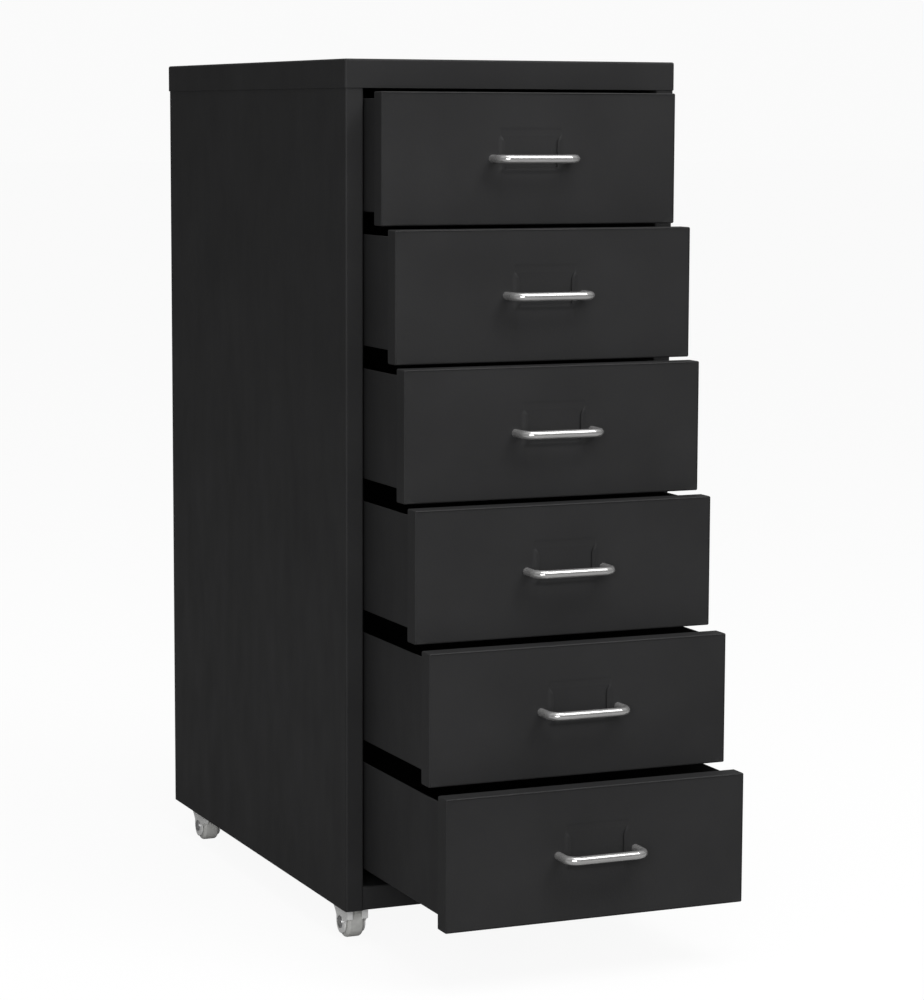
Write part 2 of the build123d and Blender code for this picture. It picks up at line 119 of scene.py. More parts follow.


# %% [markdown]
# The record names one paint for the carcass, one for the drawer fronts, one for the trays and one for the runners.
# They are the same powder, so one function makes all four. The fronts' shade is a touch lighter as painted light,
# where the fronts face the lamps, and the runners' shade a touch darker as painted shade inside the carcass.

# %% Powder coat
def powder_coat(name, shade, sheen_low, sheen_high):
    finish, tree, surface, place = new_finish(name, Specular_IOR_Level=0.14)
    cloud = noise(tree, place, 14, 4)
    dark = [0.9 * part for part in shade]
    light = [1.1 * part for part in shade]
    tree.links.new(tint(tree, spread(tree, cloud, 0, 1), dark, light), surface.inputs["Base Color"])
    rub = noise(tree, place, 45, 5, (1, 1, 0.35))
    tree.links.new(spread(tree, rub, sheen_low, sheen_high), surface.inputs["Roughness"])
    peel = bump(tree, noise(tree, place, 480, 1), 0.00006)
    grit = bump(tree, noise(tree, place, 2400, 2), 0.00003, peel)
    tree.links.new(grit, surface.inputs["Normal"])
    return finish


PAINTS = {
    # front_paint's lighter shade is painted light and runner_paint's darker shade is painted shade; carcass and
    # trays share one shade
    "carcass_paint": powder_coat("carcass_paint", (0.0215, 0.0215, 0.0220), 0.50, 0.58),
    "front_paint": powder_coat("front_paint", (0.0225, 0.0225, 0.0230), 0.48, 0.56),
    "tray_paint": powder_coat("tray_paint", (0.0215, 0.0215, 0.0220), 0.50, 0.58),
    "runner_paint": powder_coat("runner_paint", (0.0190, 0.0190, 0.0195), 0.52, 0.60),
}
print("paints:", ", ".join(PAINTS))

# %% [markdown]
# The bare metals are satin nickel on the handles and dull zinc on the screws, stems, nuts and axles. Satin nickel
# is only partly a mirror, so its legs stay mid-grey beside the dark drawer, and it shows hair-fine wiping marks
# along the wire. Zinc has a cloudy, slightly uneven shine.

# %% Metals
def plated(name, shade, sheen_low, sheen_high, lumps, stretch, depth, metallic=1.0):
    finish, tree, surface, place = new_finish(name, metallic=metallic)
    cloud = noise(tree, place, lumps, 3, stretch)
    dark = [0.86 * part for part in shade]
    tree.links.new(tint(tree, spread(tree, cloud, 0, 1), dark, shade), surface.inputs["Base Color"])
    marks = noise(tree, place, 4 * lumps, 4, stretch)
    tree.links.new(spread(tree, marks, sheen_low, sheen_high), surface.inputs["Roughness"])
    tree.links.new(bump(tree, marks, depth), surface.inputs["Normal"])
    return finish


METALS = {
    "handle_chrome": plated(
        "handle_chrome", (0.57, 0.565, 0.56), 0.12, 0.19, 220, (0.15, 1, 1), 0.000004, metallic=0.72),
    "screw_steel": plated("screw_steel", (0.60, 0.61, 0.62), 0.26, 0.42, 300, (1, 1, 1), 0.00001),
    "stem_steel": plated("stem_steel", (0.58, 0.59, 0.60), 0.28, 0.45, 260, (1, 1, 0.3), 0.00001),
    "axle_steel": plated("axle_steel", (0.62, 0.62, 0.62), 0.22, 0.38, 300, (0.3, 1, 1), 0.00001),
}
print("metals:", ", ".join(METALS))

# %% [markdown]
# The caster forks are pressed steel with a smooth light-grey coat. The wheels are moulded nylon: a warmer grey,
# matt, with floor dust rubbed into the tread and a faint flow pattern from the mould.

# %% Fork coat and wheel nylon
def even_coat(name, specular, dark, light, sheen_low, sheen_high, depth, cloud, rub, grain):
    """Cloud, rub and grain are the lumps per metre and the detail of the shade, the sheen and the bump."""
    finish, tree, surface, place = new_finish(name, Specular_IOR_Level=specular)
    mix = spread(tree, noise(tree, place, *cloud), 0, 1)
    tree.links.new(tint(tree, mix, dark, light), surface.inputs["Base Color"])
    sheen = spread(tree, noise(tree, place, *rub), sheen_low, sheen_high)
    tree.links.new(sheen, surface.inputs["Roughness"])
    tree.links.new(bump(tree, noise(tree, place, *grain), depth), surface.inputs["Normal"])
    return finish


COATS = {
    "fork_paint": even_coat("fork_paint", 0.5, (0.82, 0.82, 0.81), (0.90, 0.90, 0.89), 0.24, 0.36,
                            0.00002, (120, 3), (400, 3), (700, 1)),
    "wheel_plastic": even_coat("wheel_plastic", 0.4, (0.56, 0.56, 0.54), (0.66, 0.66, 0.64), 0.45, 0.65,
                               0.00003, (260, 5), (500, 4), (1500, 2)),
}
FINISHES = {**PAINTS, **METALS, **COATS}
SLOT_OF = {part["node"]: part["material_slot"] for part in frame["record"]["subparts"]}
print("finishes:", len(FINISHES))

# %% [markdown]
# The flat back, the base pan and the runners already have the right shape in the frame. They keep it,
# and only take their finish. Every node gets its material here, so nothing is left bare if a piece changes.

# %% Finishes on the frame's own nodes
for node, thing in frame["nodes"].items():
    thing.data.materials.clear()
    thing.data.materials.append(FINISHES[SLOT_OF[node]])
print("nodes finished:", len(frame["nodes"]))

# %% [markdown]
# ## Making and placing pieces
# Each piece is a plain mesh whose points are already where they belong, on an object at the origin.
# The last step of every piece is the same: smooth the folds but keep the sharp rims, weigh the normals by face
# size so that flat sheet looks flat beside a tight fold, and hang the piece on its body.

# %% Helpers that finish a piece
SHARP = math.radians(38)
TOUCHING = 1e-6


def object_of(name, mesh):
    thing = bpy.data.objects.new(name, mesh)
    bpy.context.scene.collection.objects.link(thing)
    return thing


def add_live(thing, kind, **settings):
    """Adds a modifier and sets it."""
    step = thing.modifiers.new(kind.title(), kind)
    for key, value in settings.items():
        setattr(step, key, value)


def apply_all(thing):
    """Swaps the object's mesh for the one that its modifiers make, and removes them."""
    sight = bpy.context.evaluated_depsgraph_get()
    made = bpy.data.meshes.new_from_object(thing.evaluated_get(sight), depsgraph=sight)
    thing.modifiers.clear()
    thing.data = made
    return thing


def smooth_folds(thing):
    """Soft over gentle angles and sharp over steep ones, with flat faces kept flat."""
    thing.data.shade_smooth()
    thing.data.set_sharp_from_angle(angle=SHARP)
    add_live(thing, "WEIGHTED_NORMAL", mode="FACE_AREA", weight=100, keep_sharp=True)
    return apply_all(thing)


def hang(thing, body, slot, *nodes):
    """Gives the piece its finish and its body, and hides the nodes it stands for."""
    thing.data.materials.clear()
    thing.data.materials.append(FINISHES[slot])
    for face in thing.data.polygons:
        face.material_index = 0
    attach(thing, body)
    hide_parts(*nodes)
    return thing


def mesh_of(name, points, faces):
    """A mesh from loose points and faces, with doubled points joined and every face turned outwards."""
    mesh = bpy.data.meshes.new(name)
    mesh.from_pydata([tuple(p) for p in points], [], faces)
    tidy = bmesh.new()
    tidy.from_mesh(mesh)
    bmesh.ops.remove_doubles(tidy, verts=tidy.verts, dist=TOUCHING)
    bmesh.ops.dissolve_degenerate(tidy, edges=tidy.edges, dist=TOUCHING)
    bmesh.ops.recalc_face_normals(tidy, faces=tidy.faces)
    tidy.to_mesh(mesh)
    tidy.free()
    return mesh


def piece_of(name, points, faces):
    return object_of(name, mesh_of(name, points, faces))


def remade(thing):
    """Cleans the mesh that a node tree or a modifier left, in the same way as mesh_of."""
    points = [v.co for v in thing.data.vertices]
    thing.data = mesh_of(thing.name, points, [tuple(f.vertices) for f in thing.data.polygons])
    return thing


# %% [markdown]
# ## Rings
# A pressed or folded shell with an opening, such as the top cover or a drawer tray, is a stack of rings. Each ring
# is a rectangle with rounded corners, and the stack climbs the wall, goes round the fold and closes in a flat
# face. Ring by ring is easier to control than bevelling a box, because the sheet's thickness is drawn too.

# %% Rounded rings and the skin between them
CORNER_STEPS = 5


def rounded_ring(x0, x1, y0, y1, z, radius):
    """Points round a rectangle with rounded corners, counter-clockwise from above."""
    radius = max(radius, TOUCHING)
    centres = [(x1 - radius, y1 - radius), (x0 + radius, y1 - radius),
               (x0 + radius, y0 + radius), (x1 - radius, y0 + radius)]
    points = []
    for quarter, (cx, cy) in enumerate(centres):
        for step in range(CORNER_STEPS + 1):
            angle = math.pi / 2 * (quarter + step / CORNER_STEPS)
            points.append((cx + radius * math.cos(angle), cy + radius * math.sin(angle), z))
    return points


def skin(rings):
    """Points and faces of the surface through the rings, with a flat cap on each end."""
    count = len(rings[0])
    points = [p for ring in rings for p in ring]
    faces = []
    for k in range(len(rings) - 1):
        a, b = k * count, (k + 1) * count
        for j in range(count):
            i = (j + 1) % count
            faces.append((a + j, a + i, b + i, b + j))
    faces.append(tuple(reversed(range(count))))
    faces.append(tuple(range((len(rings) - 1) * count, len(rings) * count)))
    return points, faces


def quarter(steps):
    """Sine and cosine pairs over a quarter turn."""
    turns = [math.pi / 2 * k / steps for k in range(steps + 1)]
    return [(math.sin(a), math.cos(a)) for a in turns]


# %% [markdown]
# The top cover is a lid of sheet with its skirt folded down all round. It slips over the carcass, so a thin dark
# line shows under its edge. Its shell is drawn as one stack: down the inside, round the rim and up the outside.

# %% Top cover
SHEET = 0.6 * MM
COVER_ROUND = 1.6 * MM
COVER_CORNER = 2.2 * MM
COVER_RIM = 0.15 * MM


def top_cover():
    (x0, y0, z0), (x1, y1, z1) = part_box("top_cover")

    def level(inset, z):
        return rounded_ring(x0 + inset, x1 - inset, y0 + inset, y1 - inset, z, COVER_CORNER - inset)

    outside = [level(0, z0 + COVER_RIM)]
    outside += [level(COVER_ROUND * (1 - c), z1 - COVER_ROUND * (1 - s)) for s, c in quarter(6)]
    inner = COVER_ROUND - SHEET
    inside = [level(SHEET + inner * (1 - c), z1 - SHEET - inner * (1 - s)) for s, c in quarter(6)]
    inside.append(level(SHEET, z0 + COVER_RIM))
    rim = [level(SHEET - COVER_RIM, z0), level(COVER_RIM, z0)]
    points, faces = skin(outside[::-1] + rim[::-1] + inside[::-1])
    thing = piece_of("top_cover_sheet", points, faces)
    return hang(smooth_folds(thing), "carcass", "carcass_paint", "top_cover")


cover = top_cover()
print("top cover:", len(cover.data.polygons), "faces")

# %% [markdown]
# ## Folded sheets
# A side panel is one sheet with five flats: the return behind the jamb, the jamb, the side itself and the rear
# flange. That shape follows a rule: a line drawn through the flats, rounded by one radius where it folds, and run
# along the length of the fold. Geometry Nodes fit that rule well, and one tree makes both panels.

# %% A node tree for folded sheets
FOLD_RADIUS = 1.5 * MM
FOLD_STEPS = 6


def tree_socket(tree, name, kind, value=None):
    """Adds an input to the tree, with its default value if it has one."""
    socket = tree.interface.new_socket(name, in_out="INPUT", socket_type=kind)
    if value is not None:
        socket.default_value = value


def start_tree(name):
    """An empty geometry tree with its first input and its output."""
    tree = bpy.data.node_groups.new(name, "GeometryNodeTree")
    tree.interface.new_socket("Geometry", in_out="OUTPUT", socket_type="NodeSocketGeometry")
    tree_socket(tree, "Line", "NodeSocketGeometry")
    return tree


def chain(tree, *steps):
    """Adds nodes in a row, each one's first output into the next one's first input. Returns them all."""
    added = [tree.nodes.new("NodeGroupInput")]
    for kind in steps:
        added.append(tree.nodes.new(kind))
    for before, after in zip(added, added[1:]):
        tree.links.new(before.outputs[0], after.inputs[0])
    return added


def folded_sheet_tree():
    tree = start_tree("folded_sheet")
    tree_socket(tree, "Fold radius", "NodeSocketFloat", FOLD_RADIUS)
    tree_socket(tree, "Fold steps", "NodeSocketInt", FOLD_STEPS)
    tree_socket(tree, "Run", "NodeSocketVector", (0, 0, 1))
    tree_socket(tree, "Finish", "NodeSocketMaterial")
    start, _, fillet, _, extrude, _, paint, _ = chain(
        tree, "GeometryNodeMeshToCurve", "GeometryNodeFilletCurve", "GeometryNodeCurveToMesh",
        "GeometryNodeExtrudeMesh", "GeometryNodeRealizeInstances", "GeometryNodeSetMaterial", "NodeGroupOutput")
    fillet.mode = "POLY"
    extrude.mode = "EDGES"
    tree.links.new(start.outputs["Fold radius"], fillet.inputs["Radius"])
    tree.links.new(start.outputs["Fold steps"], fillet.inputs["Count"])
    tree.links.new(start.outputs["Run"], extrude.inputs["Offset"])
    extrude.inputs["Offset Scale"].default_value = 1.0
    tree.links.new(start.outputs["Finish"], paint.inputs["Material"])
    return tree


FOLDED_SHEET = folded_sheet_tree()


def run_tree(thing, tree, **values):
    """Puts the tree on the object, sets its named inputs by their identifiers, and applies it."""
    step = thing.modifiers.new("Nodes", "NODES")
    step.node_group = tree
    sockets = {s.name: s.identifier for s in tree.interface.items_tree if s.in_out == "INPUT"}
    for key, value in values.items():
        step[sockets[key.replace("_", " ")]] = value
    return apply_all(thing)


def line_mesh(name, points):
    """A bare line through the points, for a node tree to work on."""
    mesh = bpy.data.meshes.new(name)
    mesh.from_pydata(points, [(k, k + 1) for k in range(len(points) - 1)], [])
    return mesh


def folded_sheet(name, points, run, finish):
    """A sheet folded along the points, given in the middle of its thickness."""
    thing = object_of(name, line_mesh(name, points))
    run_tree(thing, FOLDED_SHEET, Fold_radius=FOLD_RADIUS, Run=run, Finish=FINISHES[finish])
    add_live(thing, "SOLIDIFY", thickness=SHEET, offset=0.0, use_even_offset=True)
    return remade(apply_all(thing))


print("node tree:", FOLDED_SHEET.name, "with", len(FOLDED_SHEET.nodes), "nodes")

# %% [markdown]
# Both side panels come from the tree, the left one with its line mirrored. The narrow flange that the cover rests
# on is folded from the same sheet at the top edge, and is added as a strip with its own thickness.

# %% Side panels
JAMB_RETURN = 12 * MM
REAR_FLANGE = 15 * MM
TOP_FLANGE = 12 * MM


def add_slab(thing, low, high):
    """Adds a block with slightly broken edges to a piece's mesh."""
    block = bmesh.new()
    middle = (Vector(low) + Vector(high)) / 2
    size = Vector(high) - Vector(low)
    place = Matrix.Translation(middle) @ Matrix.Diagonal((*size, 1))
    bmesh.ops.create_cube(block, size=1, matrix=place)
    broken = min(size) * 0.2
    bmesh.ops.bevel(block, geom=block.edges[:], offset=broken, segments=2, affect="EDGES", profile=0.5)
    block.from_mesh(thing.data)
    block.to_mesh(thing.data)
    block.free()


def side_panel(side):
    (x0, y0, z0), (x1, y1, z1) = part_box(f"{side}_side_panel")
    outer, mouth = (x1, x0) if side == "right" else (x0, x1)
    sign = 1 if side == "right" else -1
    half = SHEET / 2
    line = [(mouth + sign * half, y0 + JAMB_RETURN, z0), (mouth + sign * half, y0 + half, z0),
            (outer - sign * half, y0 + half, z0), (outer - sign * half, y1 - half, z0),
            (outer - sign * REAR_FLANGE, y1 - half, z0)]
    panel = folded_sheet(f"{side}_side_sheet", line, (0, 0, z1 - z0), "carcass_paint")
    near, far = sorted((outer - sign * TOP_FLANGE, outer - sign * half))
    add_slab(panel, (near, y0 + JAMB_RETURN, z1 - SHEET), (far, y1 - half, z1))
    return hang(smooth_folds(panel), "carcass", "carcass_paint", f"{side}_side_panel")


panels = [side_panel(side) for side in ("left", "right")]
print("side panels:", [len(p.data.polygons) for p in panels], "faces")

# %% [markdown]
# ## Drawer fronts
# A drawer front is a shallow pan, its edge folded back all round. In the middle the press has lanced a U-shaped slit
# and pushed the strip outside it forwards: those lips hold a label card. The gap behind the lips is real and
# dark, so bump mapping would not do. The face is a fine grid over the holder and a coarse one elsewhere. Grid
# points on the slit are doubled, one for the card's side and one for the raised lip.

# %% Shape of the label holder
FRONT_SHEET = 0.6 * MM
FRONT_ROUND = 0.6 * MM
FRONT_RETURN = 14 * MM
HOLDER_HALF = 28 * MM
HOLDER_TOP = 26 * MM
HOLDER_BOTTOM = 62 * MM
SLIT_HALF = 22 * MM
SLIT_TOP = 33 * MM
SLIT_BOTTOM = 56.5 * MM
LIP_RISE = 1.2 * MM
LIP_RAMP = 5.5 * MM
CARD_SINK = 0.2 * MM
GRID_FINE = 0.8 * MM
GRID_COARSE = 6 * MM


def ease(value):
    """0 to 1 along a smooth step."""
    value = min(max(value, 0.0), 1.0)
    return value * value * (3 - 2 * value)


def inside_of(x, z, half, top, bottom, corner):
    """How far a point is inside a rectangle with rounded corners. z counts down from the front's upper edge."""
    dx = abs(x) - (half - corner)
    dz = abs(z - (top + bottom) / 2) - ((bottom - top) / 2 - corner)
    return corner - math.hypot(max(dx, 0), max(dz, 0)) - min(max(dx, dz), 0)


def lip_height(x, z):
    """Forward rise of the sheet outside the slit. The lower lip's upper edge is tipped back towards the card."""
    edge = inside_of(x, z, HOLDER_HALF, HOLDER_TOP, HOLDER_BOTTOM, 4 * MM)
    opened = ease((z - SLIT_TOP + 1.5 * MM) / (5 * MM))
    inward = ease((SLIT_HALF - abs(x)) / (2 * MM)) * ease(1 - (z - SLIT_BOTTOM) / (3 * MM))
    tipped = 1 - 0.6 * inward if z > SLIT_BOTTOM - TOUCHING else 1
    return LIP_RISE * ease(edge / LIP_RAMP) * opened * tipped


def card_height(x, z):
    """Sink of the field where the card lies."""
    edge = inside_of(x, z, SLIT_HALF + 2.5 * MM, HOLDER_TOP, HOLDER_BOTTOM + 10 * MM, 3 * MM)
    return -CARD_SINK * ease(edge / (2 * MM))


def lines_between(marks):
    """Grid lines through all marks. Each mark carries the spacing that is wanted from there to the next one."""
    lines = []
    for (a, step), (b, _) in zip(marks, marks[1:]):
        count = max(1, round((b - a) / step))
        lines += [a + (b - a) * k / count for k in range(count)]
    return lines + [marks[-1][0]]


print("label holder:", 2 * HOLDER_HALF / MM, "mm wide, lips", LIP_RISE / MM, "mm proud")

# %% [markdown]
# The edge of the grid then carries on as rings: round the fold, and straight back for fourteen millimetres. A corner
# of the grid fans out into a small ball corner. Solidify gives the sheet its thickness, slit edges included.

# %% One drawer front
def front_grid(wide, tall):
    """Columns and rows of a face `tall` high with half-width `wide`, from its middle and down from its top."""
    right = lines_between([(0, GRID_FINE), (SLIT_HALF, GRID_FINE), (HOLDER_HALF + 1 * MM, 1.5 * GRID_COARSE),
                           (wide - FRONT_ROUND, 0)])
    columns = [-x for x in reversed(right[1:])] + right
    rows = lines_between([(FRONT_ROUND, GRID_COARSE), (HOLDER_TOP - 1 * MM, GRID_FINE), (SLIT_BOTTOM, GRID_FINE),
                          (HOLDER_BOTTOM + 1 * MM, GRID_COARSE), (tall - FRONT_ROUND, 0)])
    return columns, rows


def on_slit(x, z):
    """Whether a grid point lies on the lanced line."""
    side = abs(abs(x) - SLIT_HALF) < TOUCHING and SLIT_TOP < z < SLIT_BOTTOM + TOUCHING
    foot = abs(z - SLIT_BOTTOM) < TOUCHING and abs(x) < SLIT_HALF + TOUCHING
    return side or foot


def bowed(x, z):
    """The slit's upper end bows outwards, towards the holder's corner."""
    reach = ease((SLIT_TOP + 5 * MM - z) / (8 * MM)) * ease(1 - abs(abs(x) - SLIT_HALF) / (5 * MM))
    return x + math.copysign(3.2 * MM * reach, x)


def rise_at(x, z, card):
    """Forward rise of the face. On the slit, card tells its inner side from the raised lip."""
    if on_slit(x, z):
        return card_height(x, z) if card else lip_height(x, z)
    framed = abs(x) < SLIT_HALF and SLIT_TOP < z < SLIT_BOTTOM
    return card_height(x, z) + (0 if framed else lip_height(x, z))


def drawer_front(drawer):
    (x0, y0, z0), (x1, y1, z1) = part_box(f"{drawer}_front")
    face = y1 - FRONT_RETURN
    columns, rows = front_grid((x1 - x0) / 2, z1 - z0)
    points, index, faces = [], {}, []

    def point(x, z, card):
        key = (round(x, 7), round(z, 7), card if on_slit(x, z) else None)
        if key not in index:
            index[key] = len(points)
            points.append((bowed(x, z), face - rise_at(x, z, card), z1 - z))
        return index[key]

    for xa, xb in zip(columns, columns[1:]):
        for za, zb in zip(rows, rows[1:]):
            card = abs((xa + xb) / 2) < SLIT_HALF and (za + zb) / 2 < SLIT_BOTTOM
            faces.append([point(x, z, card) for x, z in ((xa, za), (xa, zb), (xb, zb), (xb, za))])
    add_edge_rings(points, faces, columns, rows, index, face, z1)
    mesh = bpy.data.meshes.new(f"{drawer}_front_sheet")
    mesh.from_pydata(points, [], faces)
    thing = object_of(f"{drawer}_front_sheet", mesh)
    add_live(thing, "SOLIDIFY", thickness=FRONT_SHEET, offset=-1.0, use_even_offset=False)
    apply_all(thing)
    return hang(smooth_folds(thing), drawer, "front_paint", f"{drawer}_front")


def add_edge_rings(points, faces, columns, rows, index, face, top):
    """Carries the grid's edge round the fold and back along the return."""
    left, right, high, low = columns[0], columns[-1], rows[0], rows[-1]
    walk = [(x, low, (0, -1)) for x in columns] + [(right, z, (1, 0)) for z in reversed(rows)]
    walk += [(x, high, (0, 1)) for x in reversed(columns)] + [(left, z, (-1, 0)) for z in rows]
    loop = []
    for k, (x, z, out) in enumerate(walk):
        loop.append((x, z, out))
        following = walk[(k + 1) % len(walk)]
        if (x, z) == following[:2]:
            for step in range(1, CORNER_STEPS):
                turn = math.pi / 2 * step / CORNER_STEPS
                old, new = math.cos(turn), math.sin(turn)
                loop.append((x, z, tuple(a * old + b * new for a, b in zip(out, following[2]))))
    levels = [(FRONT_ROUND * s, FRONT_ROUND * (1 - c)) for s, c in quarter(5)][1:]
    levels.append((FRONT_ROUND, FRONT_RETURN))
    before = [index[(round(x, 7), round(z, 7), None)] for x, z, _ in loop]
    for out_by, back_by in levels:
        ring = []
        for x, z, out in loop:
            ring.append(len(points))
            points.append((x + out[0] * out_by, face + back_by, top - z + out[1] * out_by))
        for k in range(len(loop)):
            n = (k + 1) % len(loop)
            quad = [before[k], before[n], ring[n], ring[k]]
            faces.append(quad if before[k] != before[n] else [quad[0], quad[2], quad[3]])
        before = ring


fronts = [drawer_front(drawer) for drawer in DRAWERS]
print("drawer fronts:", [len(f.data.polygons) for f in fronts], "faces")

# %% [markdown]
# ## Drawer trays
# The tray is a box of half-millimetre sheet. Its upper edge is hemmed: rolled in on itself and pressed down, which
# stiffens it and hides the cut edge. The roll catches a thin line of light along the drawer's side.

# %% Trays with hemmed edges
TRAY_SHEET = 0.5 * MM
TRAY_ROUND = 1.2 * MM
TRAY_CORNER = TRAY_ROUND + 0.6 * MM
LEAST_CORNER = 0.3 * MM
HEM = 7 * MM
HEM_ROLL = 0.65 * MM
TAB_SHEET = 1 * MM
TAB_REACH = 8 * MM
TAB_INSET = 12 * MM
TAB_RANGE = (10.2 * MM, 24.2 * MM)


def drawer_tray(drawer):
    (x0, y0, z0), (x1, y1, z1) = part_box(f"{drawer}_tray")
    x0, x1 = x0 + TAB_REACH, x1 - TAB_REACH

    def level(inset, z):
        corner = max(TRAY_CORNER - inset, LEAST_CORNER)
        return rounded_ring(x0 + inset, x1 - inset, y0 + inset, y1 - inset, z, corner)

    outside = [level(TRAY_ROUND * (1 - s), z0 + TRAY_ROUND * (1 - c)) for s, c in quarter(5)]
    roll = z1 - HEM_ROLL
    turns = [math.pi * k / 8 for k in range(9)]
    outside += [level(HEM_ROLL * (1 - math.cos(a)), roll + HEM_ROLL * math.sin(a)) for a in turns]
    outside.append(level(2 * HEM_ROLL, z1 - HEM))
    leaf = 2 * HEM_ROLL - TRAY_SHEET
    back = [level(leaf, z1 - HEM), level(leaf, roll), level(TRAY_SHEET, roll)]
    inner = TRAY_ROUND - TRAY_SHEET
    back += [level(TRAY_SHEET + inner * (1 - s), z0 + TRAY_SHEET + inner * (1 - c))
             for s, c in reversed(quarter(5))]
    points, faces = skin(outside + back)
    thing = piece_of(f"{drawer}_tray_sheet", points, faces)
    for x in (x0, x1):
        near, far = sorted((x + math.copysign(-TRAY_SHEET / 2, x), x + math.copysign(TAB_REACH, x)))
        tab = y1 - TAB_INSET
        add_slab(thing, (near, tab - TAB_SHEET, z0 + TAB_RANGE[0]), (far, tab, z0 + TAB_RANGE[1]))
    return hang(smooth_folds(thing), drawer, "tray_paint", f"{drawer}_tray")


trays = [drawer_tray(drawer) for drawer in DRAWERS]
print("trays:", [len(t.data.polygons) for t in trays], "faces")

# %% [markdown]
# ## Wire handles
# Each handle is one bent steel wire, plated after bending. It follows a path, so a node tree makes it: a line of
# four points is rounded by the bend radius, and a circle is swept along it. A mesh edit could do one handle, but
# the tree gives all six from the same four numbers.

# %% A node tree for bent wire
ROD = 6.5 * MM
HANDLE_BEND = 8.5 * MM


def bent_wire_tree():
    tree = start_tree("bent_wire")
    tree_socket(tree, "Wire", "NodeSocketFloat", ROD)
    tree_socket(tree, "Bend radius", "NodeSocketFloat", HANDLE_BEND)
    tree_socket(tree, "Bend steps", "NodeSocketInt", 14)
    tree_socket(tree, "Sides", "NodeSocketInt", 40)
    tree_socket(tree, "Finish", "NodeSocketMaterial")
    start, _, fillet, sweep, _, paint, _ = chain(
        tree, "GeometryNodeMeshToCurve", "GeometryNodeFilletCurve", "GeometryNodeCurveToMesh",
        "GeometryNodeRealizeInstances", "GeometryNodeSetMaterial", "NodeGroupOutput")
    fillet.mode = "POLY"
    circle = tree.nodes.new("GeometryNodeCurvePrimitiveCircle")
    half = tree.nodes.new("ShaderNodeMath")
    half.operation = "MULTIPLY"
    half.inputs[1].default_value = 0.5
    tree.links.new(start.outputs["Wire"], half.inputs[0])
    tree.links.new(half.outputs[0], circle.inputs["Radius"])
    tree.links.new(start.outputs["Sides"], circle.inputs["Resolution"])
    tree.links.new(circle.outputs["Curve"], sweep.inputs["Profile Curve"])
    sweep.inputs["Fill Caps"].default_value = True
    tree.links.new(start.outputs["Bend radius"], fillet.inputs["Radius"])
    tree.links.new(start.outputs["Bend steps"], fillet.inputs["Count"])
    tree.links.new(start.outputs["Finish"], paint.inputs["Material"])
    return tree


BENT_WIRE = bent_wire_tree()


def wire_handle(drawer):
    (x0, y0, z0), (x1, y1, z1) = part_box(f"{drawer}_handle")
    left, right, bar, z = x0 + ROD / 2, x1 - ROD / 2, y0 + ROD / 2, (z0 + z1) / 2
    line = [(left, y1, z), (left, bar, z), (right, bar, z), (right, y1, z)]
    thing = object_of(f"{drawer}_wire", line_mesh(f"{drawer}_wire", line))
    run_tree(thing, BENT_WIRE, Wire=ROD, Bend_radius=HANDLE_BEND, Finish=FINISHES["handle_chrome"])
    return hang(smooth_folds(remade(thing)), drawer, "handle_chrome", f"{drawer}_handle")


handles = [wire_handle(drawer) for drawer in DRAWERS]
print("handles:", [len(h.data.polygons) for h in handles], "faces")

# %% [markdown]
# ## Turned parts
# Wheels, axles, stems and screw heads are turned or moulded round an axis. A lathe is the plain way to draw them: a
# closed outline of radius and height, spun round the axis in equal steps.

# %% A lathe
def lathe(outline, centre, axis, steps):
    """Points and faces of the outline, (radius, height) pairs, spun round an axis through centre."""
    turn = Vector((0, 0, 1)).rotation_difference(Vector(axis)).to_matrix()
    points, faces = [], []
    for k in range(steps):
        angle = 2 * math.pi * k / steps
        for radius, height in outline:
            local = Vector((radius * math.cos(angle), radius * math.sin(angle), height))
            points.append(Vector(centre) + turn @ local)
    count = len(outline)
    for k in range(steps):
        a, b = k * count, (k + 1) % steps * count
        faces += [(a + j, b + j, b + (j + 1) % count, a + (j + 1) % count) for j in range(count)]
    return points, faces


def arc(cx, cy, radius, start, end, steps=6):
    """Outline points round a corner, angles in degrees."""
    turns = [math.radians(start + (end - start) * k / steps) for k in range(steps + 1)]
    return [(cx + radius * math.cos(a), cy + radius * math.sin(a)) for a in turns]


# %% [markdown]
# A caster wheel is narrow, with well-rounded shoulders. Its sides are dished between rim and hub, and a fine line
# left by the mould runs round the middle of the tread.

# %% Wheels
def middle_of(node):
    """The middle and the size of a node's box."""
    low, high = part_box(node)
    return (low + high) / 2, high - low


def caster_wheel(caster):
    centre, size = middle_of(f"{caster}_wheel")
    half, radius = size.x / 2, size.z / 2
    shoulder, rim, hub, bore, dish = 2.5 * MM, radius - 5 * MM, 5.5 * MM, 2.05 * MM, 1.5 * MM
    hub_edge, rim_edge = 0.3 * MM, 0.4 * MM
    upper = [(bore, half), (hub - hub_edge, half), (hub, half - hub_edge), (hub + hub_edge, half - dish)]
    upper += [(rim - rim_edge, half - dish), (rim, half - rim_edge), (rim + rim_edge, half)]
    upper += arc(radius - shoulder, half - shoulder, shoulder, 90, 0)
    upper += [(radius, 0.35 * MM), (radius - 0.12 * MM, 0.15 * MM)]  # the mould line
    outline = upper + [(r, -h) for r, h in reversed(upper)]
    points, faces = lathe(outline, centre, (1, 0, 0), 72)
    thing = piece_of(f"{caster}_roller_wheel", points, faces)
    return hang(smooth_folds(thing), f"{caster}_roller", "wheel_plastic", f"{caster}_wheel")


wheels = [caster_wheel(caster) for caster in CASTERS]
print("wheels:", [len(w.data.polygons) for w in wheels], "faces")

# %% [markdown]
# The axle is a pin riveted over at both ends, which leaves a dished head on each fork plate. The stem is one turned
# piece: a flange that seats under the base pan, a thread above it for the nut, and below it a collar, the race that
# the fork turns under, and the journal with its riveted end.

# %% Axles and stems
NEAR_AXIS = 0.02 * MM
THREAD_PITCH = 1.25 * MM
SWIVEL_GAP = 0.2 * MM


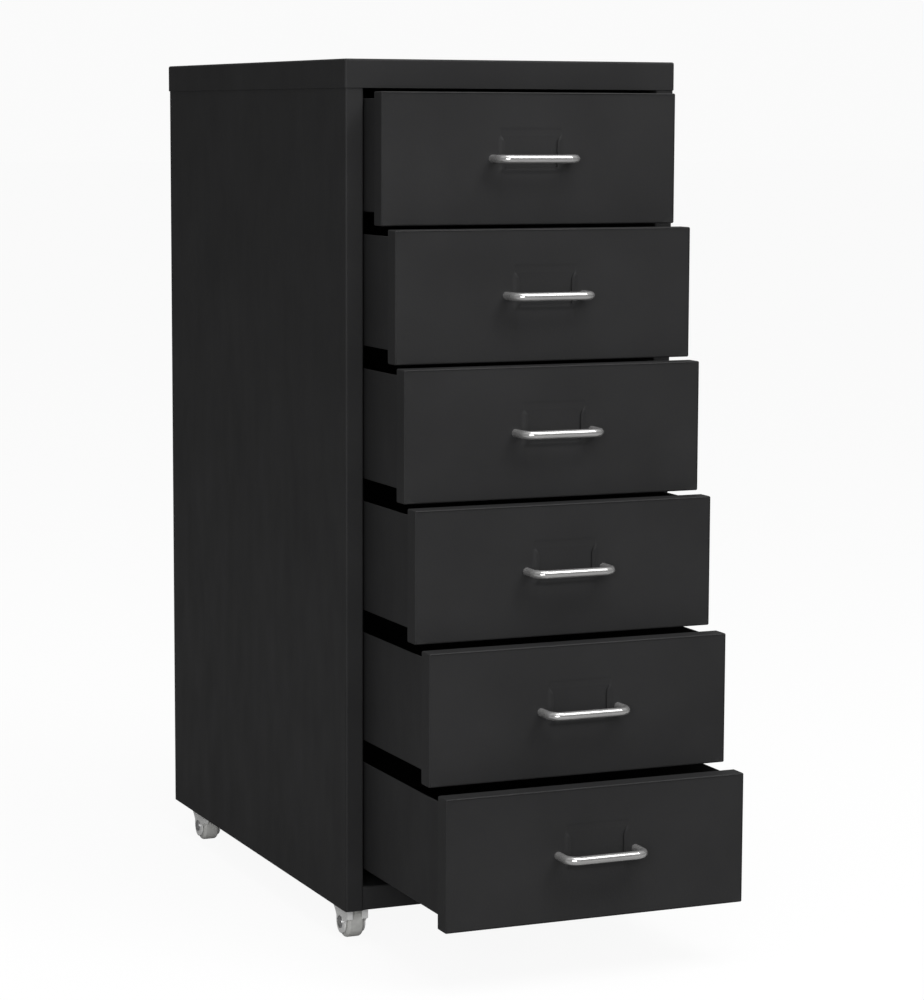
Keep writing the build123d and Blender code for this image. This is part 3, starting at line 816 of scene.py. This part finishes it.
def caster_axle(caster):
    centre, size = middle_of(f"{caster}_axle")
    reach, head, pin, dish = size.x / 2, size.z / 2, 2 * MM, 3.8 * MM
    plate = reach - 1 * MM
    edge = 0.45 * MM
    upper = [(NEAR_AXIS, reach - 0.75 * MM), (1.2 * MM, reach - 0.72 * MM), (dish - 0.5 * MM, reach - 0.55 * MM)]
    upper += [(dish, reach - 0.15 * MM)] + arc(head - edge, reach - edge, edge, 90, 0, 4)
    upper += [(head, plate), (pin, plate)]
    outline = upper + [(r, -h) for r, h in reversed(upper)]
    points, faces = lathe(outline, centre, (1, 0, 0), 48)
    thing = piece_of(f"{caster}_pin", points, faces)
    return hang(smooth_folds(thing), f"{caster}_swivel", "axle_steel", f"{caster}_axle")


def caster_stem(caster):
    (x0, y0, z0), (x1, y1, z1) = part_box(f"{caster}_stem")
    centre = ((x0 + x1) / 2, (y0 + y1) / 2, 0)
    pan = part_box("base_pan")[1].z - SHEET
    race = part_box(f"{caster}_fork")[1].z + SWIVEL_GAP
    race_top, flange = race + 4 * MM, pan - 2 * MM
    seat, collar, journal, rivet, head = 10 * MM, 6.5 * MM, 3 * MM, 4 * MM, 1.2 * MM
    edge = 0.6 * MM
    outline = [(NEAR_AXIS, z0), (rivet - edge, z0)] + arc(rivet - edge, z0 + edge, edge, -90, 0, 4)
    outline += [(rivet, z0 + head), (journal, z0 + head), (journal, race), (seat - 0.5 * MM, race)]
    outline += [(seat, race + 0.5 * MM), (seat, race + 3.2 * MM), (seat - 0.8 * MM, race_top)]
    outline += [(collar, race_top), (collar, flange), (seat - 0.3 * MM, flange)]
    outline += [(seat, pan - 1.7 * MM), (seat, pan - 0.2 * MM), (seat - 0.2 * MM, pan), (4 * MM, pan)]
    crest, root = 4 * MM, 3.45 * MM
    z = pan + 0.8 * MM
    while z + THREAD_PITCH < z1 - 0.6 * MM:
        outline += [(crest, z), (root, z + THREAD_PITCH / 2)]
        z += THREAD_PITCH
    outline += [(crest - 0.1 * MM, z), (root - 0.2 * MM, z1), (NEAR_AXIS, z1)]
    points, faces = lathe(outline, centre, (0, 0, 1), 40)
    thing = piece_of(f"{caster}_stem_bar", points, faces)
    return hang(smooth_folds(thing), "carcass", "stem_steel", f"{caster}_stem")


pins = [caster_axle(caster) for caster in CASTERS]
stems = [caster_stem(caster) for caster in CASTERS]
print("axles and stems:", len(pins) + len(stems))

# %% [markdown]
# ## Caster forks
# A fork is pressed from one strip: the crown on top, a soft bend at each side, and two plates that swing down in
# hollow curves to a round eye at the axle. Across the wheel it is an arch. Along the wheel each height has its own
# front and rear edge, so the fork is a grid over the arch whose rows end on those edges. Two narrow lips, folded
# in from the plates' front edges, stand before the tread. A real crown has a hole for the stem's journal. This
# one is left closed, so the journal runs through it, hidden by the race above and the riveted end below.

# %% Forks
FORK_SHEET = 1.6 * MM
FORK_BEND = 2.0 * MM
EYE = 9 * MM
FLARE = 10 * MM
LIP_FLARE = 3 * MM
LIP_LOW = 4.5 * MM
LIP_WIDE = 5 * MM
FORK_EDGE = 0.3 * MM
FORK_COLUMNS = 16
EYE_ANGLES = (0.01, 10, 20, 32, 45, 60, 75, 90)
PLATE_HEIGHTS = (1, 2, 3, 4, 5, 6.5, 8, 9.5, 11, 12.2)


def hollow(height, start, radius):
    """How far a hollow curve that starts at a height has swung out."""
    climb = min(max(height - start, 0), radius)
    return radius * (climb / radius) ** 1.4


def fork_edges(height, axle, trail, front_end, rear_end, under):
    """Front and rear edge of a fork plate at a height, from the swivel axis. The crown starts at `under`."""
    side = math.sqrt(max(EYE**2 - min(height - axle, 0) ** 2, 0))
    if height > axle + LIP_LOW:
        front = front_end
    else:
        front = trail - side - hollow(height, axle + LIP_LOW - LIP_FLARE - 0.5 * MM, LIP_FLARE)
    rear = rear_end if height > under else trail + side + hollow(height, under - FLARE, FLARE)
    return front, rear


def caster_fork(caster):
    (x0, y0, z0), (x1, y1, z1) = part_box(f"{caster}_fork")
    wheel, _ = middle_of(f"{caster}_wheel")
    stem, _ = middle_of(f"{caster}_stem")
    middle, half, under = (x0 + x1) / 2, (x1 - x0) / 2, z1 - FORK_SHEET
    # the arch's outer line from the foot of the right plate to the middle of the crown
    heights = [z0 + EYE * (1 - math.cos(math.radians(a))) for a in EYE_ANGLES]
    heights += [wheel.z + h * MM for h in PLATE_HEIGHTS]
    arch = [(half, h) for h in heights]
    arch += [(half - FORK_BEND * (1 - c), z1 - FORK_BEND * (1 - s)) for s, c in quarter(6)][1:]
    arch += [(half * 0.5, z1), (0, z1)]
    arch += [(-x, z) for x, z in reversed(arch[:-1])]
    columns = [k / FORK_COLUMNS for k in range(FORK_COLUMNS + 1)]
    points, faces = [], []
    for x, z in arch:
        front, rear = fork_edges(z, wheel.z, wheel.y - stem.y, y0 - stem.y, y1 - stem.y, under)
        points += [(middle + x, stem.y + front + (rear - front) * u, z) for u in columns]
    count = len(columns)
    for r in range(len(arch) - 1):
        a, b = r * count, (r + 1) * count
        faces += [(a + j, a + j + 1, b + j + 1, b + j) for j in range(count - 1)]
    thing = piece_of(f"{caster}_fork_plate", points, faces)
    add_live(thing, "SOLIDIFY", thickness=FORK_SHEET, offset=-1.0, use_even_offset=True)
    add_live(thing, "BEVEL", width=FORK_EDGE, segments=2, limit_method="ANGLE", angle_limit=math.radians(50))
    remade(apply_all(thing))
    for side in (-1, 1):
        near, far = sorted((middle + side * (half - LIP_WIDE), middle + side * (half - FORK_EDGE)))
        add_slab(thing, (near, y0 + 0.05 * MM, wheel.z + LIP_LOW), (far, y0 + FORK_SHEET, z1 - 0.4 * MM))
    return hang(smooth_folds(thing), f"{caster}_swivel", "fork_paint", f"{caster}_fork")


forks = [caster_fork(caster) for caster in CASTERS]
print("forks:", [len(f.data.polygons) for f in forks], "faces")

# %% [markdown]
# ## Screws and nuts
# The back and the cover are held by twelve pan-head screws, and each handle by two more inside its drawer. They
# repeat, so one screw of each kind is made and a node tree sets a copy on each point. Nobody lines up the cross in
# a screw head, so the tree turns each copy by a random angle from a fixed seed.

# %% A node tree that sets copies on points
def scatter_tree():
    tree = start_tree("set_on_points")
    tree_socket(tree, "Copy", "NodeSocketObject")
    tree_socket(tree, "Axis", "NodeSocketVector", (0, 1, 0))
    tree_socket(tree, "Seed", "NodeSocketInt", 7)
    tree_socket(tree, "Finish", "NodeSocketMaterial")
    start, place, _, paint, _ = chain(
        tree, "GeometryNodeInstanceOnPoints", "GeometryNodeRealizeInstances", "GeometryNodeSetMaterial",
        "NodeGroupOutput")
    source = tree.nodes.new("GeometryNodeObjectInfo")
    turn = tree.nodes.new("FunctionNodeAxisAngleToRotation")
    chance = tree.nodes.new("FunctionNodeRandomValue")
    chance.data_type = "FLOAT"
    chance.inputs[2].default_value = 0.0
    chance.inputs[3].default_value = 2 * math.pi
    tree.links.new(start.outputs["Seed"], chance.inputs["Seed"])
    tree.links.new(start.outputs["Axis"], turn.inputs["Axis"])
    tree.links.new(chance.outputs[1], turn.inputs["Angle"])
    tree.links.new(turn.outputs["Rotation"], place.inputs["Rotation"])
    tree.links.new(start.outputs["Copy"], source.inputs["Object"])
    tree.links.new(source.outputs["Geometry"], place.inputs["Instance"])
    tree.links.new(start.outputs["Finish"], paint.inputs["Material"])
    return tree


SET_ON_POINTS = scatter_tree()


def set_on_points(name, points, template, axis, slot, seed):
    mesh = bpy.data.meshes.new(name)
    mesh.from_pydata(points, [], [])
    thing = object_of(name, mesh)
    run_tree(thing, SET_ON_POINTS, Copy=template, Axis=axis, Seed=seed, Finish=FINISHES[slot])
    return smooth_folds(thing)


print("node tree:", SET_ON_POINTS.name)

# %% [markdown]
# A screw head is a turned dome with a cross cut into it. The cross is two tapered blades taken away with a Boolean,
# because a recess has walls and a floor, which a turned outline alone cannot give.

# %% Screw templates
def blade(length, width, depth, top):
    """A tapered blade that cuts one slot of the cross, in the plane of the axis."""
    points = []
    for z, share in ((top + 0.2 * MM, 1.0), (top - depth, 0.45)):
        for x, y in ((-1, -1), (1, -1), (1, 1), (-1, 1)):
            points.append((x * length * share, y * width * (0.6 + 0.4 * share), z))
    faces = [(0, 1, 2, 3), (7, 6, 5, 4)] + [(k, (k + 1) % 4, (k + 1) % 4 + 4, k + 4) for k in range(4)]
    return mesh_of("blade", points, faces)


def cut(thing, cutter_mesh):
    """Takes a mesh's volume away from the piece."""
    cutter = object_of("cutter", cutter_mesh)
    add_live(thing, "BOOLEAN", operation="DIFFERENCE", solver="EXACT", object=cutter)
    apply_all(thing)
    bpy.data.objects.remove(cutter)


def screw_template(name, head, height, shank, length):
    """A screw whose head faces +Y and sits on the plane y = 0."""
    r, s = head / 2, shank / 2
    dome = [math.radians(d) for d in (0, 14, 28, 42, 56, 70, 82)]
    outline = [(0.01 * MM, -length), (s * 0.6, -length), (s, -length + 0.8 * MM), (s, 0)]
    outline += [(r - 0.1 * MM, 0), (r, 0.15 * MM)]
    outline += [(r * math.cos(a), height * (0.3 + 0.7 * math.sin(a))) for a in dome] + [(0.01 * MM, height)]
    points, faces = lathe(outline, (0, 0, 0), (0, 0, 1), 40)
    thing = piece_of(name, points, faces)
    for turn in (0, math.pi / 2):
        slot = blade(head * 0.27, head * 0.055, height * 0.7, height)
        slot.transform(Matrix.Rotation(turn, 4, "Z"))
        cut(thing, slot)
    thing.data.transform(Matrix.Rotation(-math.pi / 2, 4, "X"))
    return thing


BACK_HEAD, BACK_HEAD_HEIGHT = 7.5 * MM, 2.2 * MM
M4_HEAD, M4_HEAD_HEIGHT = 8 * MM, 2.4 * MM
back_screw = screw_template("back_screw_copy", BACK_HEAD, BACK_HEAD_HEIGHT, 3.9 * MM, 8 * MM)
handle_screw = screw_template("handle_screw_copy", M4_HEAD, M4_HEAD_HEIGHT, 4 * MM, 10.1 * MM)
print("screw templates:", len(back_screw.data.polygons), len(handle_screw.data.polygons), "faces")

# %% [markdown]
# The back screws stand in two columns of six. The five lower ones seat on the back panel and the top one on the
# cover's skirt. Each drawer's pair sits inside the tray, level with the handle.

# %% Screws in place
def back_screw_points():
    (x0, _, z0), (x1, _, z1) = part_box("back_screws")
    r = BACK_HEAD / 2
    panel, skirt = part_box("back_panel")[1].y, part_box("top_cover")[1].y
    rows = [z0 + r + (z1 - z0 - 2 * r) * k / 5 for k in range(6)]
    return [(x, skirt if z == rows[-1] else panel, z) for x in (x0 + r, x1 - r) for z in rows]


screws = set_on_points("back_screw_set", back_screw_points(), back_screw, (0, 1, 0), "screw_steel", 3)
hang(screws, "carcass", "screw_steel", "back_screws")
for number, drawer in enumerate(DRAWERS):
    low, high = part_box(f"{drawer}_screws")
    seat, z = high.y - M4_HEAD_HEIGHT, (low.z + high.z) / 2
    pair = [(low.x + M4_HEAD / 2, seat, z), (high.x - M4_HEAD / 2, seat, z)]
    pair_set = set_on_points(f"{drawer}_screw_pair", pair, handle_screw, (0, 1, 0), "screw_steel", number)
    hang(pair_set, drawer, "screw_steel", f"{drawer}_screws")
print("screws:", 12 + 2 * len(DRAWERS))

# %% [markdown]
# A nut is a hexagon whose corners are turned off at both ends. It is the overlap of a hexagon bar and a
# chamfered ring whose bore makes the hole, so one Boolean makes it from two simple solids.

# %% Caster nuts
def nut_template():
    flats, height, bore = 13 * MM, 5 * MM, 4.05 * MM
    corner = flats / math.sqrt(3)
    ring = [(corner * math.cos(math.radians(60 * k)), corner * math.sin(math.radians(60 * k))) for k in range(6)]
    points = [(x, y, z) for z in (0, height) for x, y in ring]
    faces = [tuple(reversed(range(6))), tuple(range(6, 12))]
    faces += [(k, (k + 1) % 6, (k + 1) % 6 + 6, k + 6) for k in range(6)]
    thing = piece_of("nut_copy", points, faces)
    cap = (corner - flats / 2) * 0.8
    over, inner, outer = 0.01 * MM, flats / 2 - 0.1 * MM, corner + 0.1 * MM
    disc_outline = [(bore, -over), (inner, -over), (outer, cap), (outer, height - cap), (inner, height + over),
                    (bore, height + over)]
    disc = piece_of("disc", *lathe(disc_outline, (0, 0, 0), (0, 0, 1), 48))
    add_live(thing, "BOOLEAN", operation="INTERSECT", solver="EXACT", object=disc)
    apply_all(thing)
    bpy.data.objects.remove(disc)
    return thing


nut = nut_template()
nut_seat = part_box("caster_nuts")[0].z
nut_points = [(*middle_of(f"{caster}_stem")[0].xy, nut_seat) for caster in CASTERS]
nuts = set_on_points("caster_nut_set", nut_points, nut, (0, 0, 1), "screw_steel", 11)
hang(nuts, "carcass", "screw_steel", "caster_nuts")
for template in (back_screw, handle_screw, nut):
    bpy.data.objects.remove(template)
print("nuts:", len(nut_points))

# %% [markdown]
# ## Studio
# A dark satin object wants a soft light from above and a calm, darker room at eye level, or its faces turn grey with
# reflections. The floor is pale and plain. The room is a gradient, dim at the horizon and brighter overhead.

# %% Floor and room
FLOOR_REACH = 40
FLOOR_SHADE = 0.36
FLOOR_GLOW = 1.16
GLOW_SHARE = 0.8
BACKDROP_STRENGTH = 0.96
ROOM_HORIZON = 0.08
ROOM_OVERHEAD = 0.65


def studio_floor():
    mesh = bpy.data.meshes.new("studio_floor")
    corners = [(x * FLOOR_REACH, y * FLOOR_REACH, 0) for x, y in ((-1, -1), (1, -1), (1, 1), (-1, 1))]
    mesh.from_pydata(corners, [], [(0, 1, 2, 3)])
    floor = object_of("studio_floor", mesh)
    pale, tree, surface, _ = new_finish("studio_floor", Specular_IOR_Level=0.0)
    surface.inputs["Base Color"].default_value = (FLOOR_SHADE, FLOOR_SHADE, FLOOR_SHADE, 1)
    surface.inputs["Roughness"].default_value = 0.9
    glow = tree.nodes.new("ShaderNodeEmission")
    glow.inputs["Color"].default_value = (1, 1, 1, 1)
    glow.inputs["Strength"].default_value = FLOOR_GLOW
    seen = tree.nodes.new("ShaderNodeLightPath").outputs["Is Camera Ray"]
    share = tree.nodes.new("ShaderNodeMath")
    share.operation = "MULTIPLY"
    share.inputs[1].default_value = GLOW_SHARE
    mix = tree.nodes.new("ShaderNodeMixShader")
    tree.links.new(seen, share.inputs[0])
    tree.links.new(share.outputs[0], mix.inputs["Fac"])
    tree.links.new(surface.outputs["BSDF"], mix.inputs[1])
    tree.links.new(glow.outputs["Emission"], mix.inputs[2])
    tree.links.new(mix.outputs["Shader"], tree.nodes["Material Output"].inputs["Surface"])
    mesh.materials.append(pale)


def studio_room():
    world = bpy.data.worlds.new("studio_room")
    bpy.context.scene.world = world
    world.use_nodes = True
    tree = world.node_tree
    backdrop = tree.nodes["Background"]
    backdrop.inputs["Color"].default_value = (1, 1, 1, 1)
    backdrop.inputs["Strength"].default_value = BACKDROP_STRENGTH
    direction = tree.nodes.new("ShaderNodeTexCoord").outputs["Generated"]
    split = tree.nodes.new("ShaderNodeSeparateXYZ")
    tree.links.new(direction, split.inputs["Vector"])
    room = tree.nodes.new("ShaderNodeBackground")
    climb = spread(tree, split.outputs["Z"], ROOM_HORIZON, ROOM_OVERHEAD, 0.0, 1.0)
    tree.links.new(climb, room.inputs["Strength"])
    seen = tree.nodes.new("ShaderNodeLightPath").outputs["Is Camera Ray"]
    mix = tree.nodes.new("ShaderNodeMixShader")
    tree.links.new(seen, mix.inputs["Fac"])
    tree.links.new(room.outputs["Background"], mix.inputs[1])
    tree.links.new(backdrop.outputs["Background"], mix.inputs[2])
    tree.links.new(mix.outputs["Shader"], tree.nodes["World Output"].inputs["Surface"])


studio_floor()
studio_room()
bpy.context.scene.view_settings.view_transform = "Standard"
print("floor and room ready")

# %% [markdown]
# Three large soft boxes light the cabinet. The wide one hangs overhead and a little in front, and gives the handles
# their bright upper line. The other two stand well back to the front: the left one hangs low and opens up the side,
# the jamb and the casters, and the weaker right one puts a faint sheen on the drawer faces.

# %% Soft boxes
def soft_box(name, place, target, width, height, watts):
    light = bpy.data.lights.new(name, "AREA")
    light.shape = "RECTANGLE"
    light.size, light.size_y, light.energy = width, height, watts
    lamp = object_of(name, light)
    lamp.location = place
    lamp.rotation_euler = (Vector(target) - Vector(place)).to_track_quat("-Z", "Y").to_euler()


soft_box("overhead_box", (0.2, -1.2, 2.6), (0, -0.1, 0.3), 2.0, 2.0, 46)
soft_box("right_box", (1.3, -2.4, 2.8), (0, -0.1, 0.35), 1.4, 1.4, 24)
soft_box("left_box", (-1.6, -3.0, 0.9), (0, -0.1, 0.25), 1.6, 1.6, 50)

# %% [markdown]
# ## Camera
# The camera stands to the front left, a little below the top of the cabinet, and looks slightly down through a long
# lens. Its axes are built from yaw, pitch and roll, which say how it is held more plainly than a matrix does.

# %% Camera
CAMERA_PLACE = (-0.9762, -2.3887, 0.6458)
YAW, PITCH, ROLL = (math.radians(a) for a in (23.281, 7.154, 0.231))
FOCAL_LENGTH, SENSOR_WIDTH = 109.63, 36.0
forward = Vector((math.sin(YAW) * math.cos(PITCH), math.cos(YAW) * math.cos(PITCH), -math.sin(PITCH)))
level = Vector((math.cos(YAW), -math.sin(YAW), 0))
upright = level.cross(forward)
right_axis = level * math.cos(ROLL) + upright * math.sin(ROLL)
up_axis = upright * math.cos(ROLL) - level * math.sin(ROLL)
lens = bpy.data.cameras.new("view")
lens.lens, lens.sensor_width = FOCAL_LENGTH, SENSOR_WIDTH
eye = object_of("view", lens)
aim = Matrix((right_axis, up_axis, -forward)).transposed().to_4x4()
eye.matrix_world = Matrix.Translation(CAMERA_PLACE) @ aim
bpy.context.scene.camera = eye
print("camera:", lens.lens, "mm lens")
